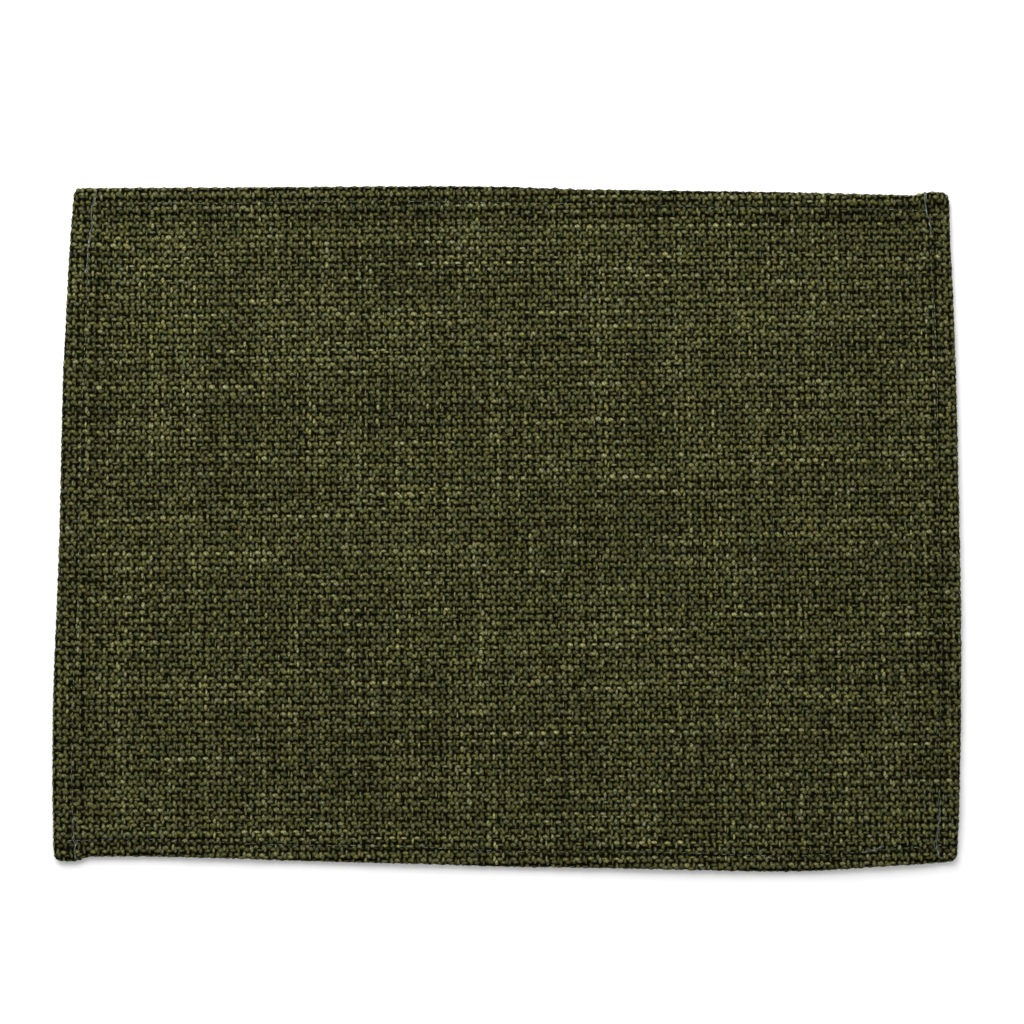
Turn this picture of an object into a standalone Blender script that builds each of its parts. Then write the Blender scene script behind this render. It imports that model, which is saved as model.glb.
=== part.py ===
# A woven cloth placemat that lies flat, its four edges turned under and stitched down.
# Metres, +Z up. The origin is under the middle of the mat, on the surface that it lies on.
import math

import bpy
from mathutils import Vector

MM = 0.001

# Cloth
CLOTH = 2.0 * MM            # thickness of one layer
LAYER_GAP = 0.3 * MM        # air between the two layers of a hem where the seam presses them

# Hems
HEM_DEPTH = {"bottom": 12.5 * MM, "right": 14.5 * MM, "top": 12.5 * MM, "left": 14.5 * MM}
SEAM_FROM_HEM_END = 3.7 * MM    # line of stitches, outwards from the inner end of the hem
SEAM_REACH = 2.8 * MM           # how far the stitches draw the face down, to each side
PUFF_OUTSIDE_SEAM = 0.5 * MM    # rise of the face between the seam and the edge
PUFF_INSIDE_SEAM = 0.3 * MM     # rise of the face between the seam and the field
SLOPE_RUN = 5.5 * MM            # from the inner end of the hem to where the field lies flat
FIELD_RIM = 2.0 * MM            # level strip between the slope and the one flat face of the field

# Outline: straight lines between the corners, and how far each edge stands out from its line
CORNERS = {                     # x, y before the corners are rounded
    "bottom left": (-226.2 * MM, -166.3 * MM),
    "bottom right": (223.6 * MM, -168.6 * MM),
    "top right": (224.5 * MM, 168.0 * MM),
    "top left": (-221.2 * MM, 172.0 * MM),
}
EDGES = {                       # each edge runs anticlockwise from its first corner
    "bottom": ("bottom left", "bottom right"),
    "right": ("bottom right", "top right"),
    "top": ("top right", "top left"),
    "left": ("top left", "bottom left"),
}
BOW = {                         # rows of: share of the edge's length, how far it stands out
    "bottom": [(0.00, 0.0), (0.10, -0.6 * MM), (0.27, 1.2 * MM), (0.38, 2.2 * MM), (0.50, 3.5 * MM),
               (0.60, 3.9 * MM), (0.72, 4.8 * MM), (0.83, 5.0 * MM), (0.94, 2.0 * MM), (1.00, 0.0)],
    "right": [(0.00, 0.0), (0.09, 1.6 * MM), (0.24, 2.9 * MM), (0.39, 3.5 * MM), (0.54, 3.1 * MM),
              (0.69, 2.7 * MM), (0.84, 1.5 * MM), (0.92, 0.5 * MM), (1.00, 0.0)],
    "top": [(0.00, 0.0), (0.06, 0.2 * MM), (0.17, 1.1 * MM), (0.40, 1.6 * MM), (0.51, 2.6 * MM),
            (0.63, 2.4 * MM), (0.74, 1.6 * MM), (0.91, 0.5 * MM), (1.00, 0.0)],
    "left": [(0.00, 0.0), (0.09, 1.1 * MM), (0.17, 1.9 * MM), (0.32, 2.5 * MM), (0.47, 2.0 * MM),
             (0.62, 2.2 * MM), (0.77, 2.5 * MM), (0.91, 1.5 * MM), (1.00, 0.0)],
}
CORNER_ROUND = 3.0 * MM
# At two corners the end of a side hem stands a little past the edge that it crosses
EARS = [                        # edge, share at the corner, width along the edge, rise
    ("top", 0.0, 19.5 * MM, 1.9 * MM),
    ("bottom", 0.0, 18.5 * MM, 2.0 * MM),
]
EAR_RAMP = 9.0 * MM             # the step up to an ear

# Fineness of the mesh
EDGE_STEPS = {"bottom": 14, "right": 11, "top": 14, "left": 11}
CORNER_STEPS = 3
SLOPE_STEPS = 5
FOLD_STEPS = 6
SMOOTH_BELOW_DEG = 50

# Colour read off the cloth
CLOTH_COLOUR = (0.058, 0.060, 0.024, 1.0)
CLOTH_ROUGHNESS = 0.95


def ease(share):
    """Smooth step from 0 to 1."""
    share = min(max(share, 0.0), 1.0)
    return share * share * (3 - 2 * share)


def read_table(rows, share):
    """Value of a table of (share, value) rows, eased between the rows by a Catmull-Rom curve."""
    last = len(rows) - 1
    i = max(k for k in range(last) if rows[k][0] <= share)
    (s0, v0), (s1, v1) = rows[i], rows[i + 1]
    span = s1 - s0
    slope_in = (v1 - rows[max(i - 1, 0)][1]) / (s1 - rows[max(i - 1, 0)][0]) * span
    slope_out = (rows[min(i + 2, last)][1] - v0) / (rows[min(i + 2, last)][0] - s0) * span
    t = (share - s0) / span
    return ((2 * t**3 - 3 * t**2 + 1) * v0 + (t**3 - 2 * t**2 + t) * slope_in
            + (3 * t**2 - 2 * t**3) * v1 + (t**3 - t**2) * slope_out)


def edge_shares(edge):
    """Places along an edge that get a point: even steps, and the two ends of an ear's ramp."""
    steps = EDGE_STEPS[edge]
    shares = [k / steps for k in range(steps + 1)]
    length = edge_length(edge)
    for ear_edge, corner_share, width, _ in EARS:
        if ear_edge == edge:
            for reach in (width, width - EAR_RAMP / 2, width - EAR_RAMP):
                shares.append(abs(corner_share - reach / length))
    return sorted(shares)


def edge_length(edge):
    start, end = (Vector(CORNERS[name]) for name in EDGES[edge])
    return (end - start).length


def ear_rise(edge, share):
    """How far an ear stands out at a place along an edge."""
    rise = 0.0
    for ear_edge, corner_share, width, height in EARS:
        if ear_edge == edge:
            reach = abs(share - corner_share) * edge_length(edge)
            rise += height * ease((width - reach) / EAR_RAMP)
    return rise


def inset_corner(before, after, insets):
    """Where two neighbouring edges meet once each is moved in by its own inset."""
    lines = []
    for edge in (before, after):
        start, end = (Vector(CORNERS[name]) for name in EDGES[edge])
        along = (end - start).normalized()
        inward = Vector((-along.y, along.x))
        lines.append((start + inward * insets[edge], along))
    (p, d), (q, e) = lines
    cross = d.x * e.y - d.y * e.x
    reach = ((q - p).x * e.y - (q - p).y * e.x) / cross
    return p + d * reach


def outline(insets, ear_share):
    """Closed outline moved in by a given inset on each edge; ears count by ear_share."""
    names = list(EDGES)
    corners = {}
    for k, edge in enumerate(names):
        corners[edge] = inset_corner(names[k - 1], edge, insets)
    runs = []
    for k, edge in enumerate(names):
        start = corners[edge]
        end = corners[names[(k + 1) % len(names)]]
        along = (end - start).normalized()
        outward = Vector((along.y, -along.x))
        room = (end - start).length - 2 * CORNER_ROUND
        run = []
        for share in edge_shares(edge):
            out = read_table(BOW[edge], share) + ear_share * ear_rise(edge, share)
            run.append(start + along * (CORNER_ROUND + share * room) + outward * out)
        runs.append(run)
    points = []
    for k, run in enumerate(runs):
        points += run
        points += rounded_corner(run[-2], run[-1], runs[(k + 1) % len(runs)])
    return points


def rounded_corner(before, start, next_run):
    """Points between the last point of one edge and the first of the next, on a quadratic curve."""
    end, after = next_run[0], next_run[1]
    d, e = (start - before).normalized(), (end - after).normalized()
    cross = d.x * e.y - d.y * e.x
    reach = ((end - start).x * e.y - (end - start).y * e.x) / cross
    tip = start + d * reach
    points = []
    for step in range(1, CORNER_STEPS):
        t = step / CORNER_STEPS
        points.append(start * (1 - t) ** 2 + tip * 2 * t * (1 - t) + end * t**2)
    return points


def hem_section():
    """Middle line of the cloth from the field out, round the edge and in under the hem.

    Each row is (anchor, inset, height). The inset counts inwards from the mat's outer edge where
    the anchor is 0, and from the inner end of the hem where it is 1.
    """
    under = CLOTH / 2
    seam = under + CLOTH + LAYER_GAP
    crown = seam + PUFF_OUTSIDE_SEAM
    lip = seam + PUFF_INSIDE_SEAM
    slope_top = -SEAM_FROM_HEM_END + SEAM_REACH
    rows = [(1, SLOPE_RUN + FIELD_RIM, under)]
    for step in range(SLOPE_STEPS + 1):
        share = step / SLOPE_STEPS
        inset = SLOPE_RUN + (slope_top - SLOPE_RUN) * share
        rows.append((1, inset, under + (lip - under) * ease(share)))
    rows.append((1, -SEAM_FROM_HEM_END, seam))
    rows.append((1, -SEAM_FROM_HEM_END - SEAM_REACH, crown))
    fold_radius = (crown - under) / 2
    for step in range(FOLD_STEPS + 1):
        turn = math.pi * step / FOLD_STEPS
        inset = CLOTH / 2 + fold_radius * (1 - math.sin(turn))
        rows.append((0, inset, under + fold_radius * (1 + math.cos(turn))))
    rows.append((1, 0.0, under))
    return rows


def both_faces(rows):
    """The section moved half a cloth's thickness to each side, with mitred joints."""
    depth = sum(HEM_DEPTH.values()) / len(HEM_DEPTH)
    path = [Vector((anchor * depth + inset, height)) for anchor, inset, height in rows]
    ways = [(b - a).normalized() for a, b in zip(path, path[1:])]
    face, back = [], []
    for k, (anchor, _, _) in enumerate(rows):
        first, second = ways[max(k - 1, 0)], ways[min(k, len(ways) - 1)]
        mitre = (first + second).normalized()
        normal = Vector((mitre.y, -mitre.x)) * (CLOTH / 2) / mitre.dot(first)
        for side, moved in ((face, path[k] + normal), (back, path[k] - normal)):
            side.append((anchor, moved.x - anchor * depth, moved.y))
    return face, back


def ring(row):
    """One loop of points around the mat for one row of the section."""
    anchor, inset, height = row
    insets = {edge: anchor * depth + inset for edge, depth in HEM_DEPTH.items()}
    return [point.to_3d() + Vector((0, 0, height)) for point in outline(insets, 1 - anchor)]


def cloth_material():
    material = bpy.data.materials.new("olive_cloth")
    material.use_nodes = True
    shader = material.node_tree.nodes["Principled BSDF"]
    shader.inputs["Base Color"].default_value = CLOTH_COLOUR
    shader.inputs["Roughness"].default_value = CLOTH_ROUGHNESS
    shader.inputs["Metallic"].default_value = 0.0
    return material


def placemat():
    """The mat: one closed skin swept around the outline, with a flat face and underside."""
    face, back = both_faces(hem_section())
    rings = [ring(row) for row in face + back[::-1]]
    count = len(rings[0])
    low = [min(p[axis] for loop in rings for p in loop) for axis in (0, 1)]
    high = [max(p[axis] for loop in rings for p in loop) for axis in (0, 1)]
    middle = Vector(((low[0] + high[0]) / 2, (low[1] + high[1]) / 2, 0))
    verts = [point - middle for loop in rings for point in loop]
    faces = []
    for k in range(len(rings) - 1):
        for j in range(count):
            following = (j + 1) % count
            faces.append((k * count + j, (k + 1) * count + j,
                          (k + 1) * count + following, k * count + following))
    last = (len(rings) - 1) * count
    faces.append(tuple(range(count)))
    faces.append(tuple(last + j for j in reversed(range(count))))
    mesh = bpy.data.meshes.new("placemat")
    mesh.from_pydata(verts, [], faces)
    mesh.materials.append(cloth_material())
    mesh.shade_smooth()
    mesh.set_sharp_from_angle(angle=math.radians(SMOOTH_BELOW_DEG))
    body = bpy.data.objects.new("placemat", mesh)
    bpy.context.collection.objects.link(body)
    return body


for leftover in list(bpy.data.objects):
    bpy.data.objects.remove(leftover)
placemat()
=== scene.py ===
import math

import bpy
import numpy as np
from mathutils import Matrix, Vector

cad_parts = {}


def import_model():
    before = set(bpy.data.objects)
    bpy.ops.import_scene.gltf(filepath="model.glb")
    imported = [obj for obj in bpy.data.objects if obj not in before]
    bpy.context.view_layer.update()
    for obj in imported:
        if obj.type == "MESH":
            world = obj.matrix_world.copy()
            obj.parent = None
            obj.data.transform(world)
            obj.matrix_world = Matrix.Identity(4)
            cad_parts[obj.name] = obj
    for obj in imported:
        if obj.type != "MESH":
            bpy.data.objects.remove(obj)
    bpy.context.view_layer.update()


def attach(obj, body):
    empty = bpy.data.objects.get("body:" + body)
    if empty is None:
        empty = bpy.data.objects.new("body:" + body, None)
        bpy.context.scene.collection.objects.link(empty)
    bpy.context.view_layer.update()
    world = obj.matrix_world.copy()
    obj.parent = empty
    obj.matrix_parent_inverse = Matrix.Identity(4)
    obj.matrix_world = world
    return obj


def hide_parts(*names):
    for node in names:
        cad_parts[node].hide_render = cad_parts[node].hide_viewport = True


MM = 0.001
SEED = 11

TINY = 1e-12                    # keeps a zero length from being divided by

# Places of a Mix node's sockets where it mixes colours
MIX_FACTOR, MIX_A, MIX_B, MIX_RESULT = 0, 6, 7, 2

# Cloth and hems, as in the solid. Heights are those of the cloth's middle surface.
HALF_CLOTH = 1.0 * MM           # half the thickness of one layer
FIELD_HEIGHT = HALF_CLOTH
HEM_DEPTH = {"bottom": 12.5 * MM, "right": 14.5 * MM, "top": 12.5 * MM, "left": 14.5 * MM}
SEAM_FROM_HEM_END = 3.7 * MM    # line of stitches, outwards from the cut edge
SEAM_REACH = 2.4 * MM
SLOPE_RUN = 4.0 * MM            # from the cut edge to where the field lies flat
CROWN_LIFT = 2.8 * MM           # a hem's face above the field
LIP_LIFT = 2.6 * MM             # the same, between the seam and the field
SEAM_GROOVE = 1.0 * MM          # narrower and deeper than the solid's
GROOVE_REACH = 2.8 * MM
GROOVE_OUTWARDS = 0.9 * MM      # the deepest line lies this far outside the stitches
GROOVE_PAINTED_SHADE = 0.36             # painted shade: share of the light that the yarns' colour loses in the seam's groove
FOLD_RADIUS = 1.4 * MM
FOLD_START = 2.4 * MM           # inset at which the face starts to turn down
FOLD_END = FOLD_START - math.pi * FOLD_RADIUS   # inset in the flat cloth where it has turned right under
CORNER_ROUND = 3.0 * MM
SLOPE_STEP = 0.4 * MM           # distance over which the slope of the face is measured

# Outline, as in the solid once its middle is at the origin
CORNERS = {
    "bottom left": (-226.125 * MM, -166.11 * MM),
    "bottom right": (223.675 * MM, -168.41 * MM),
    "top right": (224.575 * MM, 168.19 * MM),
    "top left": (-221.125 * MM, 172.19 * MM),
}
EDGES = {                       # each edge runs anticlockwise from its first corner
    "bottom": ("bottom left", "bottom right"),
    "right": ("bottom right", "top right"),
    "top": ("top right", "top left"),
    "left": ("top left", "bottom left"),
}
BOW = {                         # rows of: share of the edge's length, how far it stands out
    "bottom": [(0.00, 0.0), (0.10, -0.6 * MM), (0.27, 1.2 * MM), (0.38, 2.2 * MM), (0.50, 3.5 * MM),
               (0.60, 3.9 * MM), (0.72, 4.8 * MM), (0.83, 5.0 * MM), (0.94, 2.0 * MM), (1.00, 0.0)],
    "right": [(0.00, 0.0), (0.09, 1.6 * MM), (0.24, 2.9 * MM), (0.39, 3.5 * MM), (0.54, 3.1 * MM),
              (0.69, 2.7 * MM), (0.84, 1.5 * MM), (0.92, 0.5 * MM), (1.00, 0.0)],
    "top": [(0.00, 0.0), (0.06, 0.2 * MM), (0.17, 1.1 * MM), (0.40, 1.6 * MM), (0.51, 2.6 * MM),
            (0.63, 2.4 * MM), (0.74, 1.6 * MM), (0.91, 0.5 * MM), (1.00, 0.0)],
    "left": [(0.00, 0.0), (0.09, 1.1 * MM), (0.17, 1.9 * MM), (0.32, 2.5 * MM), (0.47, 2.0 * MM),
             (0.62, 2.2 * MM), (0.77, 2.5 * MM), (0.91, 1.5 * MM), (1.00, 0.0)],
}
EARS = {                        # width along the edge from its first corner, and rise
    "top": (19.5 * MM, 1.9 * MM),
    "bottom": (18.5 * MM, 2.0 * MM),
}
EAR_RAMP = 9.0 * MM             # the step up to an ear
CORNER_SOFT = 5.0 * MM          # reach of the rounding that the cloth takes at its corners

# Weave: yarns lie in pairs, and the pairs cross as in a plain weave
WARP = {
    "pitch": 3.19 * MM,         # from pair to pair
    "lean": math.radians(0.46),
    "phase": 0.297,             # pitches from a pair to the middle of the mat
    "apart": 0.156,             # each yarn from the middle of its pair, in pitches
    "stagger": 0.17,            # shift of its crowns along it, in pitches of the other yarns
    "float": 0.27,              # from a crown's top to its shoulder, in the same pitches
    "half width": 0.93 * MM,
    "half height": 0.46 * MM,
    "rise": 0.52 * MM,          # crown above the cloth's middle
    "second yarn painted light": 0.80,        # painted shade: share of the light painted onto the second yarn of a pair
    "seed": 3.7,                # start of its noises
}
WEFT = {
    "pitch": 3.66 * MM,
    "lean": math.radians(0.58),
    "phase": 1.272,
    "apart": 0.170,
    "stagger": 0.215,
    "float": 0.31,
    "half width": 1.18 * MM,
    "half height": 0.46 * MM,
    "rise": 0.52 * MM,
    "second yarn painted light": 0.58,
    "seed": 1.9,
}
CROWN_RINGS = [                 # place along the crown in floats, share of height, of width, of painted light
    (-1.0, 0.50, 0.84, 0.56),
    (0.0, 1.00, 1.00, 1.00),
    (1.0, 0.50, 0.84, 0.56),
]
DIP_WIDTH = 0.62                # share of the width where a yarn passes underneath
YARN_SIDES = 4
PLY_LAY = 3.0 * MM              # length of one full turn of the two plies
PIECES_PER_SYSTEM = 3
WEAVE_REACH_X = 260 * MM        # yarns are laid this far from the middle, and the cloth's edge ends them
WEAVE_REACH_Y = 200 * MM
CORNER_TURN = math.radians(94)  # how far round the fold yarns go in the corner squares

# Unevenness of the yarns. Normal random numbers are cut off at SPREAD_LIMIT times their spread.
SPREAD_LIMIT = 2
HEIGHT_SPREAD = 0.18            # of a crown's height, from crown to crown
WIDTH_SPREAD = 0.18             # of a yarn's width, from crown to crown
YARN_SPREAD = 0.08              # of a yarn's width, from yarn to yarn
SIDE_JITTER = 0.15 * MM         # of a crown's place
ALONG_JITTER = 0.32 * MM
WANDER = 0.16 * MM              # slow drift of a yarn to the side
WANDER_LENGTHS = (23 * MM, 61 * MM)

FOLD_FLATTENS = 0.45            # share of a crown's height that is left on the outer fold
LOWEST = 0.03 * MM              # yarns are pressed flat where they lie on the floor

# Painted shade: a dark sheet between the yarns, for the depth there. Its grid is counted in pairs of
# yarns from the mat's middle.
SHADE_SHEET_THICKNESS = 0.3 * MM
SHADE_SHEET_REACH_X = 76.0
SHADE_SHEET_REACH_Y = 53.0
SHADE_SHEET_RIM = 18                 # width of the rim that has a fine grid
SHADE_SHEET_FINE = 0.5               # from line to line in the rim, and inside it
SHADE_SHEET_COARSE = 4

# Sewing thread. Heights count from the cloth's middle surface.
THREAD_RADIUS = 0.15 * MM
THREAD_SIDES = 5
STITCH_PITCH = 4.0 * MM
STITCH_SHOWN = 2.2 * MM
STITCH_SHOWN_SPREAD = 0.25      # share by which that length varies
STITCH_RINGS = 6
STITCH_JITTER = 0.4 * MM
STITCH_SKEW = 0.5 * STITCH_JITTER   # how far its two ends lie to the side of each other
STITCH_PROUD = 0.62 * MM        # middle of a stitch
STITCH_UNEVEN = 0.38 * MM       # how much higher or lower one stitch lies than the next
STITCH_SUNK = 0.35 * MM         # its ends, and a loose thread's
SEAM_DRIFT = 0.5 * MM           # slow drift of a seam to the side
SEAM_DRIFT_LENGTH = 21 * MM
SEAM_ENDS = {                   # where a seam's stitches stop, from the edge's two corners
    "bottom": (4 * MM, 4 * MM),
    "right": (34 * MM, 22 * MM),
    "top": (4 * MM, 4 * MM),
    "left": (42 * MM, 20 * MM),
}
LOOSE_RADIUS = 0.17 * MM
LOOSE_SWELL = 0.4               # share by which the radius varies
LOOSE_PROUD = 0.86 * MM
LOOSE_ROLL = 0.40 * MM          # how far it rises and sinks on the way
LOOSE_ROLL_RATE = 1.3           # rises for each short wave
LOOSE_ENDS = 2.0 * MM           # the ends go down into the cloth over this length
LOOSE_STEP = 0.8 * MM           # from ring to ring
LOOSE_SMOOTHED = 5              # rings over which its path is averaged
LOOSE_STRANDS = 2
LOOSE_APART = 0.50 * MM         # how far a strand strays to the side
LOOSE_WAVES = (0.9 * MM, 3.1 * MM)  # short and long waves of a strand to the side
LOOSE_WAVE_SHARES = (0.4, 0.8)
LOOSE_THREADS = {               # x, y in millimetres
    "loose_thread_top_left": [(-209.0, 170.5), (-209.6, 164.5), (-210.8, 158.5), (-210.4, 153.0),
                              (-211.8, 147.5), (-211.6, 142.5), (-213.0, 138.5), (-212.2, 134.5),
                              (-213.6, 131.0), (-214.6, 127.5)],
    "loose_thread_bottom_left": [(-215.4, -145.5), (-215.0, -156.0), (-214.4, -165.0)],
    "loose_thread_top_right": [(211.3, 168.6), (213.1, 155.0), (214.2, 147.0)],
    "loose_thread_bottom_right": [(214.2, -133.0), (214.3, -145.0), (213.2, -152.8),
                                  (211.8, -159.0), (214.8, -167.0)],
    "loose_thread_bottom": [(174.0, -163.2), (180.0, -162.0), (186.5, -159.8)],
}

# Colours, linear. A row is a place in a noise or share, then a colour or what multiplies one.
BLACK = (0.0, 0.0, 0.0)
WHITE = (1.0, 1.0, 1.0)
YARN_TONES = [
    (0.28, (0.046, 0.051, 0.019)),
    (0.44, (0.074, 0.077, 0.028)),
    (0.58, (0.110, 0.112, 0.043)),
    (0.74, (0.176, 0.171, 0.077)),
]
YARN_HUES = [
    (0.30, (1.06, 1.00, 0.74)),
    (0.70, (0.94, 1.00, 1.24)),
]
PALE_STRETCH = {"stops": [(0.57, BLACK), (0.66, WHITE)], "share": 0.44, "colour": (0.31, 0.30, 0.14)}
RED_FLECK = {"stops": [(0.66, BLACK), (0.72, WHITE)], "share": 0.55, "colour": (0.130, 0.078, 0.046)}
GREY_FLECK = {"stops": [(0.28, WHITE), (0.34, BLACK)], "share": 0.55, "colour": (0.062, 0.082, 0.058)}
PLY_PAINTED_SHADES = [                  # painted shade, from the groove between the plies to the middle of one
    (0.0, (0.30, 0.30, 0.26)),
    (0.30, (0.80, 0.80, 0.78)),
    (0.75, (1.10, 1.10, 1.10)),
]
DIVE_PAINTED_SHADES = [                 # painted shade, from yarns that dive between the others to open crowns
    (0.04, (0.014, 0.014, 0.007)),
    (0.28, (0.15, 0.15, 0.11)),
    (0.52, (0.72, 0.72, 0.68)),
    (0.85, (1.0, 1.0, 1.0)),
]
SIDE_PAINTED_SHADES = [                # painted shade, from a yarn's side to its top
    (0.0, (0.12, 0.12, 0.09)),
    (0.22, (0.56, 0.56, 0.52)),
    (0.50, (0.89, 0.89, 0.88)),
    (0.90, (1.0, 1.0, 1.0)),
]
THREAD_TONES = [
    (0.30, (0.018, 0.027, 0.021)),
    (0.50, (0.060, 0.079, 0.064)),
    (0.68, (0.215, 0.255, 0.222)),
]
# painted shade of the dark sheet between the yarns
SHADE_SHEET_TONES = [
    (0.35, (0.0015, 0.0015, 0.0007)),
    (0.65, (0.0040, 0.0040, 0.0018)),
]
FLOOR_TONES = [
    (0.3, (0.90, 0.90, 0.90)),
    (0.7, (0.92, 0.92, 0.92)),
]
YARN_BUMP = (0.6, 0.16 * MM)    # strength and depth
THREAD_BUMP = (0.4, 0.05 * MM)
PLY_RELIEF = 0.8                # the plies' relief beside the fibres'

# Noises of the yarn: length in millimetres along it, and steps of the noise from yarn to yarn
TONE_NOISE = {"seed": 0.0, "length": 8.0, "step": 0.9, "detail": 3.0, "roughness": 0.7}
PALE_NOISE = {"seed": 40.0, "length": 36.0, "step": 1.7}
FLECK_NOISE = {"seed": 90.0, "length": 2.2, "step": 3.3}
HUE_NOISE = {"seed": 20.0, "length": 4.0, "step": 1.7}
STREAK_NOISE = {"seed": 70.0, "length": 120.0, "step": 1.7}
BAND_NOISE = {"seed": 110.0, "length": 260.0, "step": 0.20}
PLY_NOISE = {"seed": 130.0, "length": 6.0, "step": 1.7}
STREAK_SPREAD = 0.50
BAND_SPREAD = 0.20
LUMP_SPREAD = 0.22
FIBRE_SPREAD = 0.40
NOISE_RANGE = (0.28, 0.72)      # most of a noise's values
PLY_STEP = 2.4                  # turn of the plies from yarn to yarn, in radians
PLY_UNEVEN = 9.0                # radians over the range of the noise

# Noises by place, in details to a metre
LUMP_SCALE = 1000.0
FIBRE_SCALE = 2600.0
THREAD_TONE_SCALE = 700.0
THREAD_FIBRE_SCALE = 4000.0
SHADE_SHEET_SCALE = 900.0
FLOOR_SCALE = 3.0

# Photograph's view
CAMERA_AT = (2.1 * MM, 6.7 * MM, 0.0)
CAMERA_TILT = math.radians(5.0)
CAMERA_DISTANCE = 1.296
VIEW_WIDTH = 515.5 * MM
SENSOR = 36.0

# Floor, and light from above the mat's upper edge
FLOOR_HALF = 3.0
ROOM_LIGHT = 0.70
KEY_PLACE = (-0.26, 0.70, 0.66)
KEY_SIZE = 1.0
KEY_POWER = 15.6


def ease(share):
    """Smooth step from 0 to 1."""
    share = np.clip(share, 0.0, 1.0)
    return share * share * (3 - 2 * share)


def read_table(rows, share):
    """Values of a table of (share, value) rows, eased between the rows by a Catmull-Rom curve."""
    places = np.array([row[0] for row in rows])
    values = np.array([row[1] for row in rows])
    last = len(rows) - 1
    i = np.clip(np.searchsorted(places, share, side="right") - 1, 0, last - 1)
    before = np.maximum(i - 1, 0)
    after = np.minimum(i + 2, last)
    span = places[i + 1] - places[i]
    slope_in = (values[i + 1] - values[before]) / (places[i + 1] - places[before]) * span
    slope_out = (values[after] - values[i]) / (places[after] - places[i]) * span
    t = (share - places[i]) / span
    return ((2 * t**3 - 3 * t**2 + 1) * values[i] + (t**3 - 2 * t**2 + t) * slope_in
            + (3 * t**2 - 2 * t**3) * values[i + 1] + (t**3 - t**2) * slope_out)


def edge_place(edge, x, y):
    """Inset of points from a curved edge, their distance along it, and the edge's inward direction."""
    start, end = (np.array(CORNERS[name]) for name in EDGES[edge])
    length = np.linalg.norm(end - start)
    along = (end - start) / length
    inward = np.array((-along[1], along[0]))
    run = (x - start[0]) * along[0] + (y - start[1]) * along[1]
    share = np.clip((run - CORNER_ROUND) / (length - 2 * CORNER_ROUND), 0.0, 1.0)
    inset = (x - start[0]) * inward[0] + (y - start[1]) * inward[1] + read_table(BOW[edge], share)
    return inset, run, inward


def ear_rise(edge, run):
    """How far the end of a side hem stands out past the edge that it crosses."""
    if edge not in EARS:
        return np.zeros_like(run)
    width, rise = EARS[edge]
    return rise * ease((width - run) / EAR_RAMP)


def nearer_edge(first, second, x, y):
    """For each point, the nearer of two opposite edges: inset, inward direction, hem depth, ear."""
    inset_1, run_1, inward_1 = edge_place(first, x, y)
    inset_2, run_2, inward_2 = edge_place(second, x, y)
    use_1 = inset_1 < inset_2
    inset = np.where(use_1, inset_1, inset_2)
    inward = np.where(use_1[..., None], inward_1, inward_2)
    depth = np.where(use_1, HEM_DEPTH[first], HEM_DEPTH[second])
    ear = np.where(use_1, ear_rise(first, run_1), ear_rise(second, run_2))
    return inset, inward, depth, ear


def hem_lift(inset, depth):
    """Height of the face above the field by its inset, and how far into the seam's groove it lies."""
    seam = depth - SEAM_FROM_HEM_END
    foot = depth + SLOPE_RUN
    slope = ease((foot - inset) / (foot - seam - SEAM_REACH))
    puff = ease((seam + SEAM_REACH - inset) / (2 * SEAM_REACH))
    groove = 1 - ease(np.abs(inset - seam + GROOVE_OUTWARDS) / GROOVE_REACH)
    return LIP_LIFT * slope + (CROWN_LIFT - LIP_LIFT) * puff, groove


def fold(inset):
    """Where an inset of the flat cloth goes once the hem is folded, and how far round it has turned."""
    reach = np.maximum(FOLD_START - inset, 0.0)
    turn = np.minimum(reach / FOLD_RADIUS, math.pi)
    past = np.maximum(reach - math.pi * FOLD_RADIUS, 0.0)
    folded = np.where(reach > 0, FOLD_START - FOLD_RADIUS * np.sin(turn) + past, inset)
    return folded, turn


def round_corner(a, b):
    """Insets from two neighbouring edges, moved so that the corner between them is round."""
    room = CORNER_SOFT - HALF_CLOTH
    p = np.clip((CORNER_SOFT - a) / room, 0.0, 1.0)
    q = np.clip((CORNER_SOFT - b) / room, 0.0, 1.0)
    near = (p > 0) & (q > 0)
    round_a = CORNER_SOFT - room * p * np.sqrt(1 - q * q / 2)
    round_b = CORNER_SOFT - room * q * np.sqrt(1 - p * p / 2)
    return np.where(near, round_a, a), np.where(near, round_b, b)


def face_height(x, y):
    """Height of the cloth's middle surface, before its hems turn under, and the share of a groove."""
    inset_x, _, depth_x, _ = nearer_edge("left", "right", x, y)
    inset_y, _, depth_y, _ = nearer_edge("bottom", "top", x, y)
    lift_x, groove_x = hem_lift(np.maximum(inset_x, FOLD_START), depth_x)
    lift_y, groove_y = hem_lift(np.maximum(inset_y, FOLD_START), depth_y)
    groove = np.maximum(groove_x, groove_y)
    return FIELD_HEIGHT + np.maximum(lift_x, lift_y) - SEAM_GROOVE * groove, groove


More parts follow.
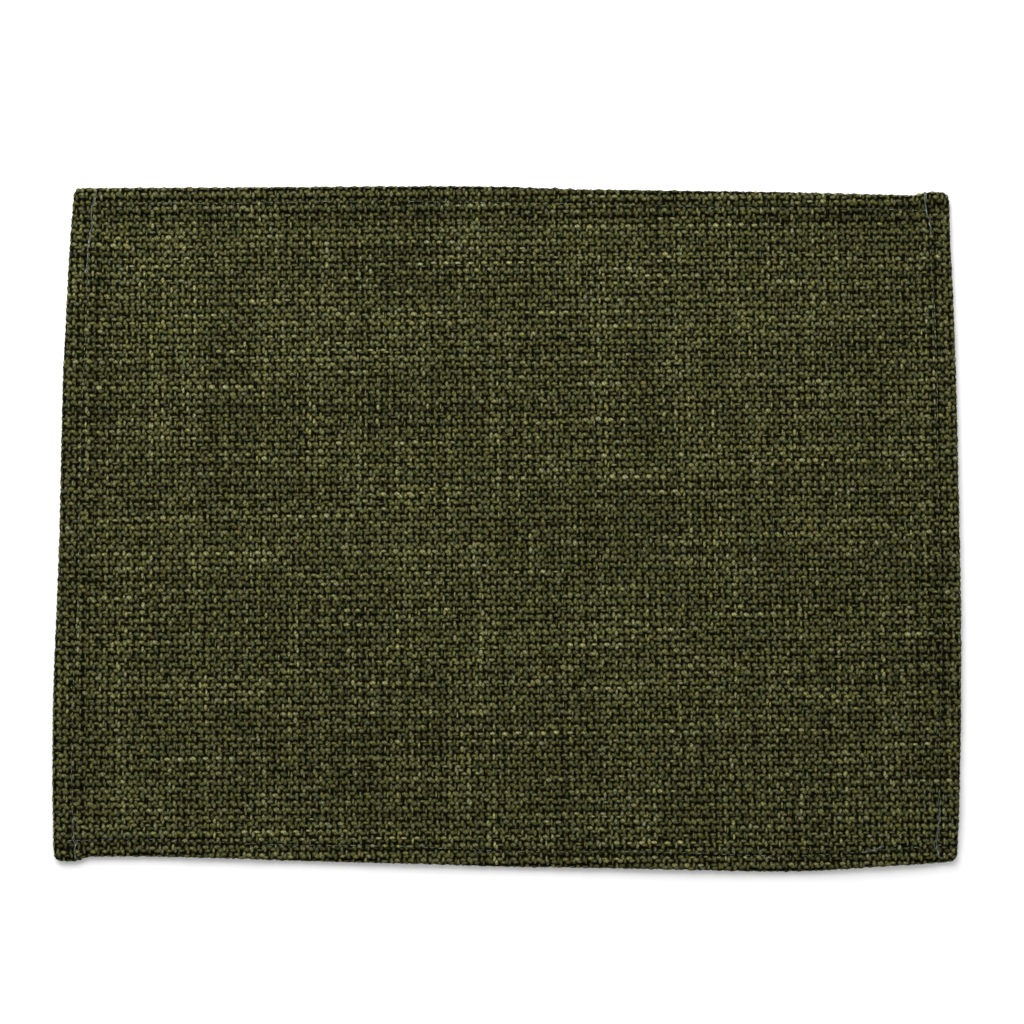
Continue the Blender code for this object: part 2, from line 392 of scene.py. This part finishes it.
def drape(x, y):
    """Places and normals of the folded cloth's middle surface for points of the flat cloth."""
    inset_x, inward_x, _, _ = nearer_edge("left", "right", x, y)
    inset_y, inward_y, depth_y, _ = nearer_edge("bottom", "top", x, y)
    folded_x, turn_x = fold(inset_x)
    folded_y, turn_y = fold(inset_y)
    _, _, _, ear_y = nearer_edge("bottom", "top", x + inward_x[..., 0] * (folded_x - inset_x), y)
    folded_x, folded_y = round_corner(folded_x, folded_y)
    seam_y = depth_y - SEAM_FROM_HEM_END
    folded_y = folded_y - ear_y * (1 - ease((inset_y - FOLD_START) / (seam_y - FOLD_START)))
    flat = np.stack((x, y), axis=-1)
    plan = flat + inward_x * (folded_x - inset_x)[..., None] + inward_y * (folded_y - inset_y)[..., None]
    centre = FIELD_HEIGHT + FOLD_RADIUS
    over = np.cos(turn_x) * np.cos(turn_y)
    top, _ = face_height(x, y)
    height = np.where(turn_x + turn_y > 0, centre + (top - centre) * over, top)
    step = SLOPE_STEP / 2
    slope_x = (face_height(x + step, y)[0] - face_height(x - step, y)[0]) / SLOPE_STEP
    slope_y = (face_height(x, y + step)[0] - face_height(x, y - step)[0]) / SLOPE_STEP
    tilt = np.stack((slope_x, slope_y), axis=-1) * over[..., None]
    out = -inward_x * np.sin(turn_x)[..., None] - inward_y * np.sin(turn_y)[..., None] - tilt
    normal = np.concatenate((out, over[..., None]), axis=-1)
    normal /= np.linalg.norm(normal, axis=-1, keepdims=True)
    return np.concatenate((plan, height[..., None]), axis=-1), normal


def flat_place(u, v):
    """Points of the flat cloth, from places counted in pairs of warp and of weft."""
    across = (u - WARP["phase"]) * WARP["pitch"]
    down = (v - WEFT["phase"]) * WEFT["pitch"]
    a, b = math.cos(WARP["lean"]), math.sin(WARP["lean"])
    c, d = math.sin(WEFT["lean"]), -math.cos(WEFT["lean"])
    whole = a * d - b * c
    return (d * across - b * down) / whole, (a * down - c * across) / whole


def nearest_inset(x, y):
    """Inset of points of the flat cloth from the nearest of the four edges."""
    inset_x, _, _, _ = nearer_edge("left", "right", x, y)
    inset_y, _, _, _ = nearer_edge("bottom", "top", x, y)
    return np.minimum(inset_x, inset_y)


def cut_edge(depth):
    """Inset of the cut edge in the flat cloth, for a hem of a given depth."""
    return FOLD_END - (depth - FOLD_START)


def inside_cloth(x, y):
    """Which points are on the cloth. Corner squares leave out what would lie double."""
    inset_x, _, depth_x, _ = nearer_edge("left", "right", x, y)
    inset_y, _, depth_y, _ = nearer_edge("bottom", "top", x, y)
    turned = FOLD_START - FOLD_RADIUS * CORNER_TURN
    inside = (inset_x > cut_edge(depth_x)) & (inset_y > cut_edge(depth_y))
    return inside & ((inset_x > depth_x) | (inset_y > turned))


def spread(rng, shape):
    """Normal random numbers without the rare large ones."""
    return rng.standard_normal(shape).clip(-SPREAD_LIMIT, SPREAD_LIMIT)


def yarn_rings(own, other, runs_up, rng):
    """Every yarn of one system, ring by ring: place across and along, crimp, width, painted light,
    shown.
    """
    reach = (WEAVE_REACH_X, WEAVE_REACH_Y) if runs_up else (WEAVE_REACH_Y, WEAVE_REACH_X)
    beside, ahead = int(reach[0] / own["pitch"]), int(reach[1] / other["pitch"])
    pairs = np.arange(-beside, beside + 1)
    crossings = np.arange(-ahead, ahead + 1)
    pair = np.repeat(pairs, 2)
    side = np.tile((-1, 1), len(pairs))
    count = len(pair)
    up = 1 if runs_up else 0
    sign = np.where((pair[:, None] + crossings[None, :]) % 2 == up, 1.0, -1.0)
    shape = sign.shape
    height = sign * own["rise"] * (1 + HEIGHT_SPREAD * spread(rng, shape))
    width = 1 + WIDTH_SPREAD * spread(rng, shape) + YARN_SPREAD * spread(rng, (count, 1))
    aside = SIDE_JITTER * spread(rng, shape) / own["pitch"]
    shift = ALONG_JITTER * spread(rng, shape) / other["pitch"]
    for length in WANDER_LENGTHS:
        phase = rng.uniform(0, 2 * math.pi, (count, 1))
        waves = crossings[None, :] * other["pitch"] / length * 2 * math.pi
        aside = aside + WANDER / own["pitch"] * np.sin(waves + phase) / len(WANDER_LENGTHS)
    along = crossings[None, :] + side[:, None] * own["stagger"] + shift
    across = pair[:, None] + side[:, None] * own["apart"] + aside
    # Painted shade: the second yarn of each pair is painted darker, as if shaded by its neighbours.
    second_yarn_shade = np.where(side > 0, 1 - own["second yarn painted light"], 0.0)[:, None]
    rings = []
    for place, share_height, share_width, share_light in CROWN_RINGS:
        shown = (sign > 0) | (place == 0)
        wide = width * np.where(sign > 0, share_width, DIP_WIDTH)
        light = sign * share_light * (1 - second_yarn_shade * share_light)
        rings.append(np.stack((across, along + place * own["float"], height * share_height,
                               wide, light, shown), axis=-1))
    return np.stack(rings, axis=2).reshape(count, -1, rings[0].shape[-1])


def tube_points(middle, normal, half_width, half_height, sides):
    """Rings of points around lines through the cloth: the last axes count ring, side and x, y, z."""
    way = np.gradient(middle, axis=1)
    sideways = np.cross(way, normal)
    sideways /= np.linalg.norm(sideways, axis=-1, keepdims=True) + TINY
    upward = np.cross(sideways, way)
    upward /= np.linalg.norm(upward, axis=-1, keepdims=True) + TINY
    turn = 2 * math.pi * np.arange(sides) / sides
    return (middle[..., None, :]
            + sideways[..., None, :] * half_width[..., None, None] * np.cos(turn)[:, None]
            + upward[..., None, :] * half_height[..., None, None] * np.sin(turn)[:, None])


def sweep_yarns(own, other, runs_up, rng):
    """Tubes along the yarns of one system, and what their material reads at each point."""
    rings = yarn_rings(own, other, runs_up, rng)
    across, along, height, width, light, shown = np.moveaxis(rings, -1, 0)
    x, y = flat_place(across, along) if runs_up else flat_place(along, across)
    straight = np.broadcast_to(across.mean(axis=1, keepdims=True), across.shape)
    even_x, even_y = flat_place(straight, along) if runs_up else flat_place(along, straight)
    centre, normal = drape(x, y)
    taut = FOLD_FLATTENS + (1 - FOLD_FLATTENS) * np.abs(normal[..., 2])
    middle = centre + normal * (height * taut)[..., None]
    _, groove = face_height(x, y)
    # Painted shade: the yarns' colour is darkened where they lie in the seam's groove.
    light = light * (1 - GROOVE_PAINTED_SHADE * groove * (nearest_inset(x, y) > FOLD_START))
    points = tube_points(middle, normal, own["half width"] * width,
                         own["half height"] * np.sqrt(width), YARN_SIDES)
    points[..., 2] = np.maximum(points[..., 2], LOWEST)
    turn = 2 * math.pi * np.arange(YARN_SIDES) / YARN_SIDES
    shape = points.shape[:-1]
    number = np.arange(shape[0])[:, None, None]
    run = (along * other["pitch"])[..., None]
    return {
        "points": points,
        "keep": inside_cloth(even_x, even_y) & (shown > 0) & ~spare_rings(even_x, even_y),
        "values": {
            "light": np.broadcast_to(light[..., None], shape),
            "along": np.broadcast_to(run, shape),
            "yarn": np.broadcast_to(number, shape),
            "cosine": np.broadcast_to(np.cos(turn), shape),
            "sine": np.broadcast_to(np.sin(turn), shape),
        },
    }


def spare_rings(x, y):
    """The rings beside each crown's middle one, where the cloth lies hidden under a hem."""
    hidden = nearest_inset(x, y) < FOLD_END
    beside = np.arange(x.shape[1]) % len(CROWN_RINGS) != len(CROWN_RINGS) // 2
    return hidden & beside[None, :]


def tube_piece(name, points, keep, material):
    """One object of closed tubes, and its layout: the tube and ring of each ring that was kept."""
    tube, ring = np.nonzero(keep)
    for _ in range(2):          # the first pass drops rings without a neighbour, the second counts anew
        joined = (tube[1:] == tube[:-1]) & (ring[1:] - ring[:-1] <= len(CROWN_RINGS))
        starts = np.concatenate(([True], ~joined))
        ends = np.concatenate((~joined, [True]))
        lone = starts & ends
        if lone.any():
            tube, ring = tube[~lone], ring[~lone]
    sides = np.arange(points.shape[2])
    count = len(sides)
    following = (sides + 1) % count
    base = np.nonzero(joined)[0][:, None] * count
    quads = np.stack((base + sides, base + following,
                      base + count + following, base + count + sides), axis=-1).reshape(-1, 4)
    caps = (np.nonzero(starts)[0][:, None] * count + sides[::-1],
            np.nonzero(ends)[0][:, None] * count + sides)
    faces = quads.tolist() + caps[0].tolist() + caps[1].tolist()
    mesh = bpy.data.meshes.new(name)
    mesh.from_pydata(points[tube, ring].reshape(-1, 3).tolist(), [], faces)
    mesh.materials.append(material)
    mesh.shade_smooth()
    piece = bpy.data.objects.new(name, mesh)
    bpy.context.collection.objects.link(piece)
    return piece, {"tube": tube, "ring": ring, "joined": joined, "starts": starts, "ends": ends}


def add_values(mesh, layout, values):
    """Attributes that the material reads, from arrays by tube, ring and side."""
    for key, value in values.items():
        layer = mesh.attributes.new(key, "FLOAT", "POINT")
        layer.data.foreach_set("value", value[layout["tube"], layout["ring"]].ravel().astype(np.float32))


def add_bake_strips(mesh, layout, tubes, rings, count):
    """A map with one upright strip for each tube, so that the export keeps their colours apart."""
    sides = np.arange(count)
    tube, ring = layout["tube"], layout["ring"]
    here = np.nonzero(layout["joined"])[0]
    left = (tube[here][:, None] + sides / count) / tubes
    right = (tube[here][:, None] + (sides + 1) / count) / tubes
    low = np.broadcast_to((ring[here] / rings)[:, None], left.shape)
    high = np.broadcast_to((ring[here + 1] / rings)[:, None], left.shape)
    parts = [np.stack((left, low, right, low, right, high, left, high), axis=-1).reshape(-1, 2)]
    for end in ("starts", "ends"):
        which = np.nonzero(layout[end])[0]
        across = (tube[which][:, None] + (sides + 0.5) / count) / tubes
        up = np.broadcast_to((ring[which] / rings)[:, None], across.shape)
        parts.append(np.stack((across, up), axis=-1).reshape(-1, 2))
    layer = mesh.uv_layers.new(name="OFBake")
    layer.uv.foreach_set("vector", np.concatenate(parts).astype(np.float32).ravel())


def yarn_piece(name, swept, first, last, material):
    """One object of the yarns from first to last."""
    part = slice(first, last)
    piece, layout = tube_piece(name, swept["points"][part], swept["keep"][part], material)
    add_values(piece.data, layout, {key: value[part] for key, value in swept["values"].items()})
    add_bake_strips(piece.data, layout, last - first, swept["keep"].shape[1], YARN_SIDES)
    return piece


def seam_places(edge, run, inset):
    """Points of the flat cloth along an edge, at an inset from it."""
    start, end = (np.array(CORNERS[name]) for name in EDGES[edge])
    length = np.linalg.norm(end - start)
    along = (end - start) / length
    share = np.clip((run - CORNER_ROUND) / (length - 2 * CORNER_ROUND), 0.0, 1.0)
    reach = inset - read_table(BOW[edge], share)
    return start[0] + along[0] * run - along[1] * reach, start[1] + along[1] * run + along[0] * reach


def stitches(rng, material):
    """The four seams: short lengths of thread that come up out of the cloth and go down again."""
    share = np.linspace(0, 1, STITCH_RINGS)
    rows = []
    for edge, (from_start, from_end) in SEAM_ENDS.items():
        start, end = (Vector(CORNERS[name]) for name in EDGES[edge])
        length = (end - start).length
        count = int((length - from_start - from_end) / STITCH_PITCH)
        first = from_start + np.arange(count) * STITCH_PITCH + rng.uniform(-1, 1, count) * STITCH_JITTER
        shown = STITCH_SHOWN * (1 + STITCH_SHOWN_SPREAD * rng.uniform(-1, 1, count))
        run = first[:, None] + shown[:, None] * share
        seam = HEM_DEPTH[edge] - SEAM_FROM_HEM_END
        drift = SEAM_DRIFT * np.sin(first / SEAM_DRIFT_LENGTH + len(edge))
        skew = STITCH_SKEW * rng.uniform(-1, 1, (count, 1)) * (share - 0.5)
        x, y = seam_places(edge, run, seam + drift[:, None] + skew)
        rows.append(np.stack((x, y), axis=-1))
    flat = np.concatenate(rows)
    centre, normal = drape(flat[..., 0], flat[..., 1])
    proud = STITCH_PROUD - STITCH_SUNK + STITCH_UNEVEN * rng.uniform(-1, 1, (len(flat), 1))
    height = STITCH_SUNK + proud * np.sqrt(np.sin(math.pi * share))
    middle = centre + normal * height[..., None]
    radius = np.full(middle.shape[:2], THREAD_RADIUS)
    points = tube_points(middle, normal, radius, radius, THREAD_SIDES)
    piece, _ = tube_piece("stitches", points, np.ones(middle.shape[:2], bool), material)
    return piece


def loose_threads(rng, material):
    """Lengths of thread that lie loose on the face near the corners, each of a few strands."""
    pieces = []
    for name, path in LOOSE_THREADS.items():
        corners = np.array(path) * MM
        spans = np.linalg.norm(np.diff(corners, axis=0), axis=1)
        knots = np.concatenate(([0.0], np.cumsum(spans)))
        run = np.arange(0, knots[-1], LOOSE_STEP)
        x, y = (np.interp(run, knots, corners[:, axis]) for axis in (0, 1))
        smooth = np.ones(LOOSE_SMOOTHED) / LOOSE_SMOOTHED
        inner = slice(LOOSE_SMOOTHED // 2, -(LOOSE_SMOOTHED // 2))
        x[inner], y[inner] = (np.convolve(c, smooth, "valid") for c in (x, y))
        way = np.stack((np.gradient(x), np.gradient(y)), axis=-1)
        way /= np.linalg.norm(way, axis=-1, keepdims=True)
        strands = []
        for _ in range(LOOSE_STRANDS):
            short, long = (np.sin(run / wave + rng.uniform(0, 2 * math.pi)) for wave in LOOSE_WAVES)
            apart = LOOSE_APART * (LOOSE_WAVE_SHARES[0] * short + LOOSE_WAVE_SHARES[1] * long)
            centre, normal = drape(x - way[:, 1] * apart, y + way[:, 0] * apart)
            rolling = np.sin(run / LOOSE_WAVES[0] * LOOSE_ROLL_RATE + rng.uniform(0, 2 * math.pi))
            ends = ease(np.minimum(run, run[-1] - run) / LOOSE_ENDS)
            height = STITCH_SUNK + (LOOSE_PROUD - STITCH_SUNK + LOOSE_ROLL * rolling) * ends
            strands.append((centre + normal * height[:, None], normal))
        middle = np.stack([strand[0] for strand in strands])
        normal = np.stack([strand[1] for strand in strands])
        swell = np.sin(run / LOOSE_WAVES[1] + rng.uniform(0, 2 * math.pi, (LOOSE_STRANDS, 1)))
        radius = LOOSE_RADIUS * (1 + LOOSE_SWELL * swell)
        points = tube_points(middle, normal, radius, radius, THREAD_SIDES)
        pieces.append(tube_piece(name, points, np.ones(middle.shape[:2], bool), material)[0])
    return pieces


def grid_lines(reach):
    """Grid lines in pairs of yarns: close near the two edges, wide apart over the field."""
    lines = []
    place = -reach
    while place < reach:
        lines.append(place)
        place += SHADE_SHEET_COARSE if abs(place) < reach - SHADE_SHEET_RIM else SHADE_SHEET_FINE
    return np.array(lines)


def shade_sheet(material):
    """The thin dark sheet of painted shade on the cloth's middle surface, seen between the yarns."""
    grid_u, grid_v = np.meshgrid(grid_lines(SHADE_SHEET_REACH_X), grid_lines(SHADE_SHEET_REACH_Y), indexing="ij")
    x, y = flat_place(grid_u, grid_v)
    places, _ = drape(x, y)
    keep = inside_cloth(x, y)
    number = np.arange(keep.size).reshape(keep.shape)
    whole = keep[:-1, :-1] & keep[1:, :-1] & keep[1:, 1:] & keep[:-1, 1:]
    i, j = np.nonzero(whole)
    faces = np.stack((number[i, j], number[i, j + 1], number[i + 1, j + 1], number[i + 1, j]), axis=-1)
    used, faces = np.unique(faces, return_inverse=True)
    mesh = bpy.data.meshes.new("painted_shade_sheet")
    mesh.from_pydata(places.reshape(-1, 3)[used].tolist(), [], faces.reshape(-1, 4).tolist())
    mesh.materials.append(material)
    mesh.shade_smooth()
    shade_sheet_piece = bpy.data.objects.new("painted_shade_sheet", mesh)
    bpy.context.collection.objects.link(shade_sheet_piece)
    thick = shade_sheet_piece.modifiers.new("thickness", "SOLIDIFY")
    thick.thickness = SHADE_SHEET_THICKNESS
    thick.offset = 0.0
    return shade_sheet_piece


def new_material(name):
    """A material with its node tree and its Principled shader."""
    material = bpy.data.materials.new(name)
    material.use_nodes = True
    tree = material.node_tree
    shader = tree.nodes["Principled BSDF"]
    shader.inputs["Metallic"].default_value = 0.0
    return material, tree, shader


def attribute(tree, name):
    """A number that the mesh carries at each point."""
    node = tree.nodes.new("ShaderNodeAttribute")
    node.attribute_name = name
    return node.outputs["Fac"]


def feed(tree, socket, value):
    """Gives a socket a number, a colour or a link."""
    if isinstance(value, (int, float)):
        socket.default_value = value
    elif isinstance(value, tuple):
        socket.default_value = (*value, 1.0)
    else:
        tree.links.new(value, socket)


def math_node(tree, operation, *values):
    node = tree.nodes.new("ShaderNodeMath")
    node.operation = operation
    for socket, value in zip(node.inputs, values):
        feed(tree, socket, value)
    return node.outputs["Value"]


def ramp(tree, source, stops):
    """Colour ramp of (place, colour) stops."""
    node = tree.nodes.new("ShaderNodeValToRGB")
    elements = node.color_ramp.elements
    while len(elements) < len(stops):
        elements.new(0.5)
    for element, (place, colour) in zip(elements, stops):
        element.position = place
        element.color = (*colour, 1.0)
    tree.links.new(source, node.inputs["Fac"])
    return node.outputs["Color"]


def mix(tree, share, first, second, blend="MIX"):
    """Two colours mixed or, by another blend, multiplied."""
    node = tree.nodes.new("ShaderNodeMix")
    node.data_type = "RGBA"
    node.blend_type = blend
    for place, value in ((MIX_FACTOR, share), (MIX_A, first), (MIX_B, second)):
        feed(tree, node.inputs[place], value)
    return node.outputs[MIX_RESULT]


def noise(tree, vector, scale, detail=2.0, roughness=0.5):
    node = tree.nodes.new("ShaderNodeTexNoise")
    node.inputs["Scale"].default_value = scale
    node.inputs["Detail"].default_value = detail
    node.inputs["Roughness"].default_value = roughness
    tree.links.new(vector, node.inputs["Vector"])
    return node.outputs["Fac"]


def combine(tree, x, y, z):
    node = tree.nodes.new("ShaderNodeCombineXYZ")
    for socket, value in zip(node.inputs, (x, y, z)):
        feed(tree, socket, value)
    return node.outputs["Vector"]


def object_place(tree):
    return tree.nodes.new("ShaderNodeTexCoord").outputs["Object"]


def yarn_noise(tree, start, kind):
    """Noise of a given kind, which changes along a yarn and from yarn to yarn."""
    along = math_node(tree, "MULTIPLY", attribute(tree, "along"), 1.0 / MM / kind["length"])
    row = math_node(tree, "MULTIPLY_ADD", attribute(tree, "yarn"), kind["step"], start + kind["seed"])
    return noise(tree, combine(tree, along, row, 0.0), 1.0,
                 kind.get("detail", 1.0), kind.get("roughness", 0.5))


def add_bump(tree, shader, height, strength, distance):
    bump = tree.nodes.new("ShaderNodeBump")
    bump.inputs["Strength"].default_value = strength
    bump.inputs["Distance"].default_value = distance
    tree.links.new(height, bump.inputs["Height"])
    tree.links.new(bump.outputs["Normal"], shader.inputs["Normal"])


def lay_over(tree, colour, source, kind):
    """A colour with part of another one over it, where a noise is past the kind's stops."""
    share = math_node(tree, "MULTIPLY", ramp(tree, source, kind["stops"]), kind["share"])
    return mix(tree, share, colour, kind["colour"])


def yarn_colour(tree, start, place, fibre):
    """Olive fibres with khaki, grey-green and reddish ones, in streaks, bands and lumps."""
    colour = ramp(tree, yarn_noise(tree, start, TONE_NOISE), YARN_TONES)
    colour = lay_over(tree, colour, yarn_noise(tree, start, PALE_NOISE), PALE_STRETCH)
    fleck = yarn_noise(tree, start, FLECK_NOISE)
    colour = lay_over(tree, colour, fleck, RED_FLECK)
    colour = lay_over(tree, colour, fleck, GREY_FLECK)
    hue = ramp(tree, yarn_noise(tree, start, HUE_NOISE), YARN_HUES)
    colour = mix(tree, 1.0, colour, hue, "MULTIPLY")
    for source, uneven in (
            (yarn_noise(tree, start, STREAK_NOISE), STREAK_SPREAD),
            (yarn_noise(tree, start, BAND_NOISE), BAND_SPREAD),
            (noise(tree, place, LUMP_SCALE, detail=1.0), LUMP_SPREAD),
            (fibre, FIBRE_SPREAD)):
        low, high = NOISE_RANGE
        shade = ramp(tree, source, [(low, (1 - uneven,) * 3), (high, (1 + uneven,) * 3)])
        colour = mix(tree, 1.0, colour, shade, "MULTIPLY")
    return colour


def ply_height(tree, start):
    """Height of a point on two plies twisted together: 0 in the groove between them, 1 on each."""
    turn = math_node(tree, "MULTIPLY", attribute(tree, "along"), 2 * math.pi / PLY_LAY)
    turn = math_node(tree, "MULTIPLY_ADD", attribute(tree, "yarn"), PLY_STEP, turn)
    turn = math_node(tree, "MULTIPLY_ADD", yarn_noise(tree, start, PLY_NOISE), PLY_UNEVEN, turn)
    parts = [math_node(tree, "MULTIPLY", math_node(tree, wave, turn), attribute(tree, name))
             for wave, name in (("SINE", "cosine"), ("COSINE", "sine"))]
    return math_node(tree, "ABSOLUTE", math_node(tree, "ADD", *parts))


def yarn_material(name, start):
    """Melange yarn of two plies, with painted shade where it dives between the others, down its sides
    and between its plies.
    """
    material, tree, shader = new_material(name)
    place = object_place(tree)
    fibre = noise(tree, place, FIBRE_SCALE, roughness=0.6)
    ply = ply_height(tree, start)
    colour = yarn_colour(tree, start, place, fibre)
    # Painted shade: between the plies, where the yarn dives, and down its sides.
    for source, shades in (
            (ply, PLY_PAINTED_SHADES),
            (math_node(tree, "ABSOLUTE", attribute(tree, "light")), DIVE_PAINTED_SHADES),
            (math_node(tree, "ABSOLUTE", attribute(tree, "sine")), SIDE_PAINTED_SHADES)):
        colour = mix(tree, 1.0, colour, ramp(tree, source, shades), "MULTIPLY")
    tree.links.new(colour, shader.inputs["Base Color"])
    shader.inputs["Roughness"].default_value = 0.88
    shader.inputs["Specular IOR Level"].default_value = 0.04
    relief = math_node(tree, "MULTIPLY_ADD", ply, PLY_RELIEF, fibre)
    add_bump(tree, shader, relief, *YARN_BUMP)
    return material


def thread_material():
    """Fine grey-blue sewing thread."""
    material, tree, shader = new_material("grey_blue_thread")
    place = object_place(tree)
    colour = ramp(tree, noise(tree, place, THREAD_TONE_SCALE), THREAD_TONES)
    tree.links.new(colour, shader.inputs["Base Color"])
    shader.inputs["Roughness"].default_value = 0.6
    shader.inputs["Sheen Weight"].default_value = 0.2
    add_bump(tree, shader, noise(tree, place, THREAD_FIBRE_SCALE), *THREAD_BUMP)
    return material


def shade_sheet_material():
    """Nearly black painted shade, for the depth between the yarns."""
    material, tree, shader = new_material("painted_shade_dark")
    colour = ramp(tree, noise(tree, object_place(tree), SHADE_SHEET_SCALE), SHADE_SHEET_TONES)
    tree.links.new(colour, shader.inputs["Base Color"])
    shader.inputs["Roughness"].default_value = 0.95
    shader.inputs["Specular IOR Level"].default_value = 0.02
    return material


def floor_material():
    material, tree, shader = new_material("pale_floor")
    colour = ramp(tree, noise(tree, object_place(tree), FLOOR_SCALE), FLOOR_TONES)
    tree.links.new(colour, shader.inputs["Base Color"])
    shader.inputs["Roughness"].default_value = 0.9
    return material


def floor():
    half = FLOOR_HALF
    mesh = bpy.data.meshes.new("floor")
    verts = [(-half, -half, 0), (half, -half, 0), (half, half, 0), (-half, half, 0)]
    mesh.from_pydata(verts, [], [(0, 1, 2, 3)])
    mesh.materials.append(floor_material())
    piece = bpy.data.objects.new("floor", mesh)
    bpy.context.collection.objects.link(piece)
    return piece


def key_light():
    """Large soft light that faces the middle of the mat."""
    light = bpy.data.lights.new("key", "AREA")
    light.size = KEY_SIZE
    light.energy = KEY_POWER
    lamp = bpy.data.objects.new("key", light)
    lamp.location = KEY_PLACE
    lamp.rotation_euler = (-Vector(KEY_PLACE)).to_track_quat("-Z", "Y").to_euler()
    bpy.context.collection.objects.link(lamp)


def light_and_camera():
    world = bpy.data.worlds.new("soft_room")
    world.use_nodes = True
    background = world.node_tree.nodes["Background"]
    background.inputs["Color"].default_value = (*WHITE, 1.0)
    background.inputs["Strength"].default_value = ROOM_LIGHT
    bpy.context.scene.world = world
    key_light()
    camera = bpy.data.cameras.new("camera")
    camera.sensor_width = SENSOR
    camera.lens = SENSOR * CAMERA_DISTANCE / VIEW_WIDTH
    holder = bpy.data.objects.new("camera", camera)
    back = Vector((0, -math.sin(CAMERA_TILT), math.cos(CAMERA_TILT)))
    holder.location = Vector(CAMERA_AT) + back * CAMERA_DISTANCE
    holder.rotation_euler = (CAMERA_TILT, 0, 0)
    bpy.context.collection.objects.link(holder)
    bpy.context.scene.camera = holder
    bpy.context.scene.view_settings.view_transform = "Standard"


def main():
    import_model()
    rng = np.random.default_rng(SEED)
    shade_sheet_piece = shade_sheet(shade_sheet_material())
    thread = thread_material()
    threads = [stitches(rng, thread)] + loose_threads(rng, thread)
    yarns = []
    for name, own, other, runs_up in (("warp", WARP, WEFT, True), ("weft", WEFT, WARP, False)):
        swept = sweep_yarns(own, other, runs_up, rng)
        material = yarn_material(name + "_yarn", own["seed"])
        used = np.nonzero(swept["keep"].any(axis=1))[0]
        first, last = used[0], used[-1] + 1
        bounds = np.linspace(first, last, PIECES_PER_SYSTEM + 1).astype(int)
        for k in range(PIECES_PER_SYSTEM):
            yarns.append(yarn_piece(f"{name}_{k + 1}", swept, bounds[k], bounds[k + 1], material))
    for piece in yarns + [shade_sheet_piece]:
        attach(piece, "root")
    for piece in threads:
        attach(piece, "root")
    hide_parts("placemat")
    floor()
    light_and_camera()


main()
